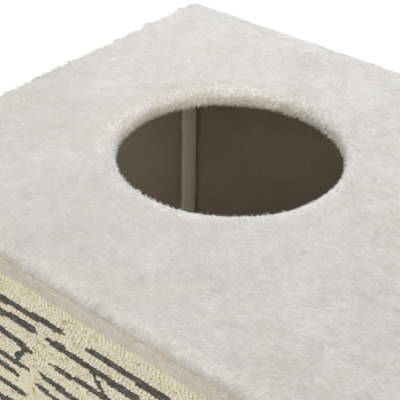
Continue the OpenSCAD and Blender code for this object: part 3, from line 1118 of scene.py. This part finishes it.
@dataclass
class ScratchMat:
    """Looped mat on the left wall: a backing sheet, and one small ridge for each loop."""

    LOOP = np.array([(-1, 0), (-0.5, -1), (0.5, -1), (1, 0), (0.5, 1), (-0.5, 1), (-0.4, 0), (0.4, 0)])
    RIDGE = [[0, 1, 6], [1, 2, 7], [1, 7, 6], [2, 3, 7], [3, 4, 7], [4, 5, 6], [4, 6, 7], [5, 0, 6]]
    # Painted shade at each loop's six feet, between the loops, and a painted highlight on its crest.
    PAINTED_SHADE_AND_LIGHT = np.array([-0.45] * 6 + [0.05, 0.05])
    EDGE_TONE = 0.45

    panel: Panel
    noise: LatticeNoise
    pitch: tuple[float, float] = (3.5 * MM, 2.2 * MM)
    loop_high: float = 1.7 * MM
    loop_root: float = 0.2 * MM
    margin: float = 0.4 * MM
    seed: int = 41
    row_gap: float = 20.0 * MM
    first_row: float = 25.0 * MM
    mark_width: float = 7.6 * MM
    stroke_start: tuple[float, float] = (-60 * MM, 10 * MM)
    stroke_half: tuple[float, float] = (34 * MM, 120 * MM)
    stroke_gap: tuple[float, float] = (6 * MM, 26 * MM)
    stray: float = 1.8 * MM
    slope: float = 0.03
    bow: float = 2.2 * MM
    linked: float = 0.4
    flecks: float = 0.05
    face_rows: int = 20

    def extent(self) -> Array:
        """Give the mat's lowest and highest corner in the panel's frame."""
        return self.panel.span("scratch_mat")

    def backing(self) -> Piece:
        """Lay the backing: a grid over the mat's rectangle, whose edge turns down to the board.

        Returns:
            The backing sheet, in the row frame.
        """
        low, high = self.extent()
        half, middle = (high - low)[:2] / 2, (high + low)[:2] / 2
        top = high[2] - self.loop_high
        edge_inset = [0.0, 0.0, 0.25 * MM, 0.9 * MM]
        edge_height = [low[2] + 0.05 * MM, top - 0.7 * MM, top - 0.2 * MM, top]
        inset = np.concatenate([edge_inset, np.linspace(4 * MM, half.min() - 1 * MM, self.face_rows)])
        plane = RoundedOutline(half, 2.0 * MM, 48, 4).walk(inset[::-1]) + middle
        spine = np.array([[half[0] - half.min(), 0.0]]) * np.sign(plane[0, :, :1] - middle[0]) + middle
        heights = np.concatenate([np.full(self.face_rows + 1, top), edge_height[::-1]])
        grid = raised(np.concatenate([spine[None], plane]), heights)
        tone = np.zeros(grid.shape[:2])
        tone[-len(edge_inset) :] = self.EDGE_TONE
        return self.panel.sheet("mat_backing", grid, True, {"tone": tone, "mark": np.zeros(tone.shape)})

    def strokes(self) -> Array:
        """Draw the bark marks: rows of long blunt strokes with gaps, some linked to the next row by a slant.

        Returns:
            For each stroke its middle, half length, slope, bow and width.
        """
        low, high = self.extent()
        rng = np.random.default_rng(self.seed)
        made = []
        for row in np.arange(high[1] - self.first_row, low[1] + 8 * MM, -self.row_gap):
            start = low[0] + rng.uniform(*self.stroke_start)
            while start < high[0]:
                half = rng.uniform(*self.stroke_half)
                at = np.array([start + half, row + rng.normal(0, self.stray)])
                slope, bow = rng.normal(0, self.slope), rng.normal(0, self.bow)
                wide = self.mark_width * rng.uniform(0.85, 1.1)
                made.append([*at, half, slope, bow, wide])
                if rng.random() < self.linked:
                    along = rng.uniform(-0.7, 0.7) * half
                    lean = rng.choice([-1.0, 1.0]) * rng.uniform(0.7, 1.3)
                    reach = 0.55 * self.row_gap / abs(lean)
                    made.append([at[0] + along, at[1] - self.row_gap / 2, reach, lean, 0.0, wide])
                start += 2 * half + rng.uniform(*self.stroke_gap)
        return np.array(made)

    def marked(self, place: Array) -> Array:
        """Tell which loops are dark: those within half the width of a stroke, which has blunt ends.

        Args:
            place: loop middles in the panel's plane.

        Returns:
            1 for a dark loop and 0 for a cream one.
        """
        deep = np.concatenate([place, np.zeros((len(place), 1))], axis=1)
        rough = 1 + 0.18 * self.noise.at(deep + 0.2, 12 * MM)
        drift = 1.4 * MM * self.noise.at(deep + 0.5, 34 * MM)
        dark = np.zeros(len(place), bool)
        for x, y, half, slope, bow, wide in self.strokes():
            along = (place[:, 0] - x) / half
            line = y + slope * (place[:, 0] - x) + bow * (1 - along**2) + drift
            blunt = np.sqrt(np.clip(1 - np.abs(along) ** 14, 0, 1))
            dark |= np.abs(place[:, 1] - line) < wide / 2 * blunt * rough
        return dark.astype(float)

    def loops(self) -> list[Piece]:
        """Stand one low ridge on the backing for each loop: six feet and a crest of two points.

        Returns:
            The loops, in the row frame, in two pieces side by side.
        """
        low, high = self.extent()
        rng = np.random.default_rng(self.seed + 1)
        xs, ys = (np.arange(low[i] + self.margin, high[i] - self.margin, self.pitch[i]) for i in (0, 1))
        x, y = np.meshgrid(xs, ys, indexing="ij")
        x = x + rng.uniform(-0.5, 0.5, len(ys)) * self.pitch[0]
        place = np.stack([x.ravel(), y.ravel()], axis=-1)
        mark = self.marked(place)
        place = place + rng.normal(0, 0.16 * MM, place.shape)
        place = np.clip(place, low[:2] + self.margin, high[:2] - self.margin)
        count = len(place)
        turn = rng.normal(0.12, 0.16, count)
        along = np.stack([np.cos(turn), np.sin(turn)], axis=-1)
        across = np.stack([-along[:, 1], along[:, 0]], axis=-1)
        long, wide = (pitch * rng.uniform(0.58, 0.68, (count, 1)) for pitch in self.pitch)
        foot = high[2] - self.loop_high - self.loop_root
        crest = foot + self.loop_high * rng.uniform(0.7, 1.1, count)
        along, across = (along * long)[:, None], (across * wide)[:, None]
        plane = place[:, None] + self.LOOP[:, :1] * along + self.LOOP[:, 1:] * across
        height = np.stack([np.full(count, foot)] * 6 + [crest, crest * 0.95 + foot * 0.05], axis=1)
        local = np.concatenate([plane, height[..., None]], axis=-1)
        flecked = rng.random(count) < self.flecks
        tone = np.where(flecked, rng.uniform(0.15, 0.4, count), rng.uniform(0.6, 1.0, count))
        tone = np.where(mark > 0, rng.uniform(0.2, 1.0, count), tone)
        tone = np.clip(tone[:, None] + self.PAINTED_SHADE_AND_LIGHT, 0, 1)
        made = []
        for number, part in enumerate(np.array_split(np.argsort(place[:, 0]), 2), 1):
            points, faces = local[part].reshape(-1, 3), copies(self.RIDGE, len(part))
            values = {"tone": tone[part], "mark": np.repeat(mark[part], len(self.LOOP))}
            plan = 0.5 + (points[:, :2] - (low + high)[:2] / 2) / ((high - low)[:2] * 1.05)
            made.append(mesh_object(f"mat_loops_{number}", self.panel.world(points), faces, values, plan))
        return made


def aim(azimuth: float, elevation: float, roll: float = 0.0) -> Array:
    """Give the axes of a camera or lamp that looks from an angle.

    Args:
        azimuth: degrees round from the front.
        elevation: degrees above the floor.
        roll: degrees that it is turned about its line of sight.

    Returns:
        A matrix with the columns right, up and back.
    """
    a, e, r = np.radians([azimuth, elevation, roll])
    back = np.array([np.sin(a) * np.cos(e), -np.cos(a) * np.cos(e), np.sin(e)])
    right = np.array([np.cos(a), np.sin(a), 0.0])
    up = np.cross(back, right)
    return np.stack([right * np.cos(r) + up * np.sin(r), up * np.cos(r) - right * np.sin(r), back], axis=1)


def stand(data: bpy.types.ID, axes: Array, place: Array) -> Piece:
    """Put a camera or lamp, turned by its axes, in its place."""
    turned = np.eye(4)
    turned[:3, :3], turned[:3, 3] = axes, place
    thing = bpy.data.objects.new(data.name, data)
    thing.matrix_world = Matrix(turned.tolist())
    bpy.context.scene.collection.objects.link(thing)
    return thing


@dataclass(frozen=True)
class Lamp:
    """Square soft lamp that lights a facing white surface to a share of white, cool or, below 0, warm."""

    AIMED_AT = 0.3 * UP

    name: str
    azimuth: float
    elevation: float
    distance: float
    size: float
    share: float
    cool: float

    def hang(self) -> None:
        """Hang the lamp at its distance from a place inside the box, unseen by the camera."""
        data = bpy.data.lights.new(self.name, "AREA")
        data.size, data.energy = self.size, self.share * math.pi * math.pi * self.distance**2
        data.color = (1 - self.cool, 1.0, 1 + self.cool)
        axes = aim(self.azimuth, self.elevation)
        stand(data, axes, axes[:, 2] * self.distance + self.AIMED_AT).visible_camera = False


@dataclass
class Studio:
    """Pale floor, soft light all round and a camera where the photograph was taken from."""

    WHITE = (1.0, 1.0, 1.0, 1.0)

    azimuth: float = -51.65
    elevation: float = 35.14
    roll: float = 1.09
    place: tuple[float, float, float] = (-0.52959, -0.34805, 0.80409)
    lens: float = 83.86
    sky: float = 0.14
    floor_half: float = 6.0
    floor_points: int = 9
    floor_glow: float = 0.68
    lamps: tuple[Lamp, ...] = (
        Lamp("overhead", 155.0, 60.0, 0.95, 0.9, 0.18, -0.03),
        Lamp("key", -32.0, 36.0, 8.0, 7.0, 0.64, 0.0),
        Lamp("left", -90.0, 20.0, 6.0, 5.0, 0.21, -0.03),
        Lamp("right", 102.0, 55.0, 0.8, 0.7, 0.31, 0.13),
    )

    def build(self) -> None:
        """Set the camera, world, floor and lamps."""
        self._camera()
        self._world()
        self._floor()
        for lamp in self.lamps:
            lamp.hang()
        bpy.context.scene.view_settings.view_transform = "Standard"

    def _camera(self) -> None:
        """Stand the camera where the photograph was taken from."""
        data = bpy.data.cameras.new("camera")
        data.sensor_width, data.lens = 36.0, self.lens
        data.clip_start, data.clip_end = 0.01, 100.0
        axes = aim(self.azimuth, self.elevation, self.roll)
        bpy.context.scene.camera = stand(data, axes, np.array(self.place))

    @staticmethod
    def _seen(bench: NodeBench) -> Socket:
        """Give 1 for rays that look at the background directly, by mirror or through glass."""
        path = bench.add("ShaderNodeLightPath").outputs
        direct = bench.maths("MAXIMUM", path["Is Camera Ray"], path["Is Glossy Ray"])
        return bench.maths("MAXIMUM", direct, path["Is Transmission Ray"])

    def _world(self) -> None:
        """Fill the room with soft white light, and show plain white behind the object."""
        world = bpy.data.worlds.new("studio")
        world.use_nodes = True
        bench = NodeBench(world.node_tree)
        room, white = (
            bench.add("ShaderNodeBackground", {"Color": self.WHITE, "Strength": strength}).outputs[0]
            for strength in (self.sky, 1.0)
        )
        mix = bench.add("ShaderNodeMixShader", {0: self._seen(bench), 1: room, 2: white})
        bench.add("ShaderNodeOutputWorld", {"Surface": mix.outputs[0]})
        bpy.context.scene.world = world

    def _floor(self) -> None:
        """Lay the floor: a wide sheet, pale for the room's light, lifted towards white where it is seen."""
        reach = np.linspace(-self.floor_half, self.floor_half, self.floor_points)
        x, y = np.meshgrid(reach, reach, indexing="ij")
        points = np.stack([x, y, np.zeros_like(x)], axis=-1).reshape(-1, 3)
        floor = mesh_object("floor", points, grid_faces(self.floor_points, self.floor_points, False))
        material, bench = new_material("studio floor")
        pale = bench.add("ShaderNodeBsdfDiffuse", {"Color": (0.8, 0.8, 0.8, 1.0)}).outputs[0]
        glow = bench.add("ShaderNodeEmission", {"Color": self.WHITE, "Strength": self.floor_glow}).outputs[0]
        both = bench.add("ShaderNodeAddShader", {0: pale, 1: glow}).outputs[0]
        mix = bench.add("ShaderNodeMixShader", {0: self._seen(bench), 1: pale, 2: both})
        bench.add("ShaderNodeOutputMaterial", {"Surface": mix.outputs[0]})
        floor.data.materials.append(material)


@dataclass
class Condo:
    """The whole box: wrapped panels with their pile, felt linings, the mat and the carried-over hardware."""

    NAPS = {
        "top": Nap((-0.626, 0.78), 1_050_000, 11, 4, wisps=0.5, fringe=1.0),
        "front": Nap((0.05, -1.0), 450_000, 12),
        # The left wall's pile gets painted warm shade just under the top panel's crease.
        "left": Nap((1.0, -0.15), 700_000, 13, crease_shade=0.45),
        "right": Nap((-0.05, -1.0), 450_000, 14),
        "back": Nap((0.05, -1.0), 450_000, 15),
        "base": Nap((0.3, -0.95), 300_000, 16),
    }

    effects: SharedEffects
    noise: LatticeNoise = field(default_factory=lambda: LatticeNoise(7))
    panels: dict[str, Panel] = field(init=False)
    finishes: dict[str, Material] = field(init=False)

    def __post_init__(self) -> None:
        """Measure the panels and mix the finishes."""
        panels = (
            Panel("top", Facing.UP, Way.ROUND),
            Panel("base", Facing.UP),
            Panel("front", Facing.FRONT, Way.ROUND),
            Panel("right", Facing.RIGHT),
            Panel("back", Facing.BACK),
            Panel("left", Facing.LEFT, Way.WINDOW),
        )
        self.panels = {panel.name: panel for panel in panels}
        ground = PlushFinish(name="plush ground", deep=linear(246, 234, 207), knap_depth=0.5 * MM)
        kinds = {"ground": ground, "pile": PlushFinish(), "felt": FeltFinish(), "mat": MatFinish()}
        self.finishes = {name: kind.make(self.effects) for name, kind in kinds.items()}

    def blocks(self, name: str) -> list[Array]:
        """List the boxes of the other panels' covers, where no pile can grow."""
        boxes = [node_points(f"{other}_cover") for other in self.panels if other != name]
        return [np.array([points.min(0), points.max(0)]) for points in boxes]

    def wrap(self, name: str, nap: Nap) -> None:
        """Wrap one panel in cloth and raise its pile.

        Args:
            name: the panel.
            nap: how its pile is grown.
        """
        panel = self.panels[name]
        cloth = WrappedCloth(panel, self.noise)
        if panel.facing is Facing.UP:
            cloth.edge_radius, cloth.turn_radius, cloth.outset = 8.5 * MM, 8.0 * MM, -0.5 * MM
        if panel.way is Way.WINDOW:
            low, high = panel.span("scratch_mat")
            cloth.window = (high - low)[:2] / 2 + 0.3 * MM
        piece = fit(cloth.build(), self.finishes["ground"], "plush", f"{name}_cover")
        strands = Pile(cloth, self.noise, nap).build(self.blocks(name))
        pile = [fit(part, self.finishes["pile"], "plush") for part in strands]
        wide, long, area = cloth.flat_size()

    def line(self, name: str) -> None:
        """Glue the felt inside one panel."""
        panel = self.panels[name]
        lining = FeltLining(panel, self.noise)
        piece = fit(lining.build(), self.finishes["felt"], "felt_lining", panel.lining)
        wide, tall, area = lining.flat_size()

    def lay_mat(self) -> None:
        """Fix the scratch mat to the left wall."""
        mat = ScratchMat(self.panels["left"], self.noise)
        sheet = fit(mat.backing(), self.finishes["mat"], "woven_mat", "scratch_mat")
        loops = [fit(part, self.finishes["mat"], "woven_mat") for part in mat.loops()]
        low, high = mat.extent()

    def dress_hardware(self) -> None:
        """Give the boards, metalwork and glides that keep their CAD shape their finishes."""
        kinds = {
            "particle_board": BoardFinish(),
            "zinc_steel": MetalFinish("zinc plate", linear(196, 198, 200), 0.28, 0.5, 140.0),
            "staple_wire": MetalFinish("staple wire", linear(182, 184, 186), 0.2, 0.38, 300.0),
            "foot_plastic": GlideFinish(),
        }
        finishes = {slot: kind.make(self.effects) for slot, kind in kinds.items()}
        for part in frame["record"]["subparts"]:
            if part["material_slot"] in finishes:
                mesh = frame["nodes"][part["node"]].data
                mesh.materials.clear()
                mesh.materials.append(finishes[part["material_slot"]])
                LOG.info("%s: %s", part["node"], part["material_slot"])

    def build(self) -> None:
        """Build every piece in order: plush, felt, the mat and the hardware."""
        for name, nap in self.NAPS.items():
            self.wrap(name, nap)
        for name in ("front", "right", "back", "left", "top"):
            self.line(name)
        self.lay_mat()
        self.dress_hardware()


def main() -> None:
    """Set the studio and build the condo over its frame."""
    logging.basicConfig(level=logging.INFO, format="%(name)s %(message)s")
    Studio().build()
    Condo(SharedEffects()).build()


if __name__ == "__main__":
    main()
